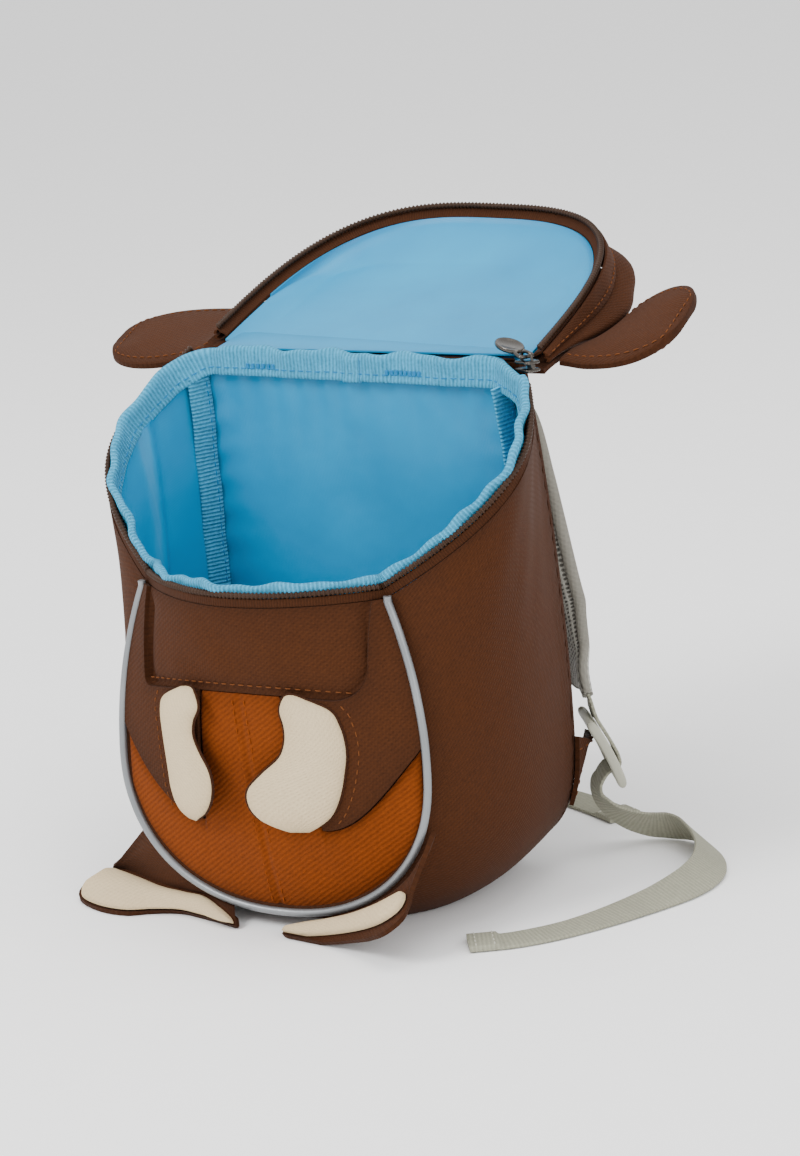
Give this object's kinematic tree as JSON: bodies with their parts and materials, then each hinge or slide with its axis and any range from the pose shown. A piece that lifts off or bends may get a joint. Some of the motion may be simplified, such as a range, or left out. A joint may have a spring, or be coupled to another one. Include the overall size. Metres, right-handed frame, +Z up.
{
  "type": "kids animal backpack",
  "caption": "Small child's backpack shaped like a sitting animal, zip open and lid folded back, with hands, feet, ears, blue lining and carrying straps",
  "frame": {"origin": "centre of the base, on the ground", "axes": "X to the wearer's right as seen from the front panel, Y from the front panel to the back panel, Z up"},
  "size_m": [0.2781, 0.2452, 0.2471],
  "materials": {
    "brown_canvas": "woven canvas",
    "orange_canvas": "woven canvas",
    "cream_canvas": "woven canvas",
    "blue_lining": "satin nylon",
    "pale_binding": "ribbed tape",
    "grey_mesh": "padded mesh",
    "grey_webbing": "ribbed webbing",
    "reflective_piping": "reflective tape",
    "zip": "tape with a nylon coil",
    "grey_plastic": "moulded",
    "dark_metal": "gloss"
  },
  "bodies": {
    "bag": {"side_gusset": "brown_canvas", "back_panel": "brown_canvas", "belly_panel": "orange_canvas", "chest_panel": "brown_canvas", "piping": "reflective_piping", "lining_front": "blue_lining", "lining_gusset": "blue_lining", "lining_back": "blue_lining", "body_zip_tape": "zip", "body_zip_coil": "zip", "rim_binding": "pale_binding", "lid_zip_coil": "zip", "lid_zip_tape": "zip", "lid_band": "brown_canvas", "lid_gusset": "brown_canvas", "lid_face": "brown_canvas", "lid_lining": "blue_lining", "lid_hinge": "brown_canvas", "zip_slider": "dark_metal", "arm_panel_left": "brown_canvas", "arm_panel_right": "brown_canvas", "hand_left": "cream_canvas", "hand_right": "cream_canvas", "hand_back_left": "brown_canvas", "hand_back_right": "brown_canvas", "leg_left": "brown_canvas", "leg_right": "brown_canvas", "foot_sole_left": "cream_canvas", "foot_sole_right": "cream_canvas", "seam_binding_left": "pale_binding", "seam_binding_right": "pale_binding", "shoulder_strap_left": "grey_mesh", "shoulder_strap_right": "grey_mesh", "strap_tab_left": "brown_canvas", "strap_tab_right": "brown_canvas", "ladder_lock_left": "grey_plastic", "ladder_lock_right": "grey_plastic", "webbing_left": "grey_webbing", "webbing_right": "grey_webbing", "ear_left": "brown_canvas", "ear_right": "brown_canvas"},
    "zip_pull": {"zip_puller": "dark_metal"}
  },
  "joints": [
    {"name": "zip_puller_hinge", "type": "hinge", "parent": "bag", "child": "zip_pull", "pos_m": [0.0768, 0.04, 0.207], "axis": [0.4226, 0.9063, 0], "range_deg": [0, 140]}
  ]
}
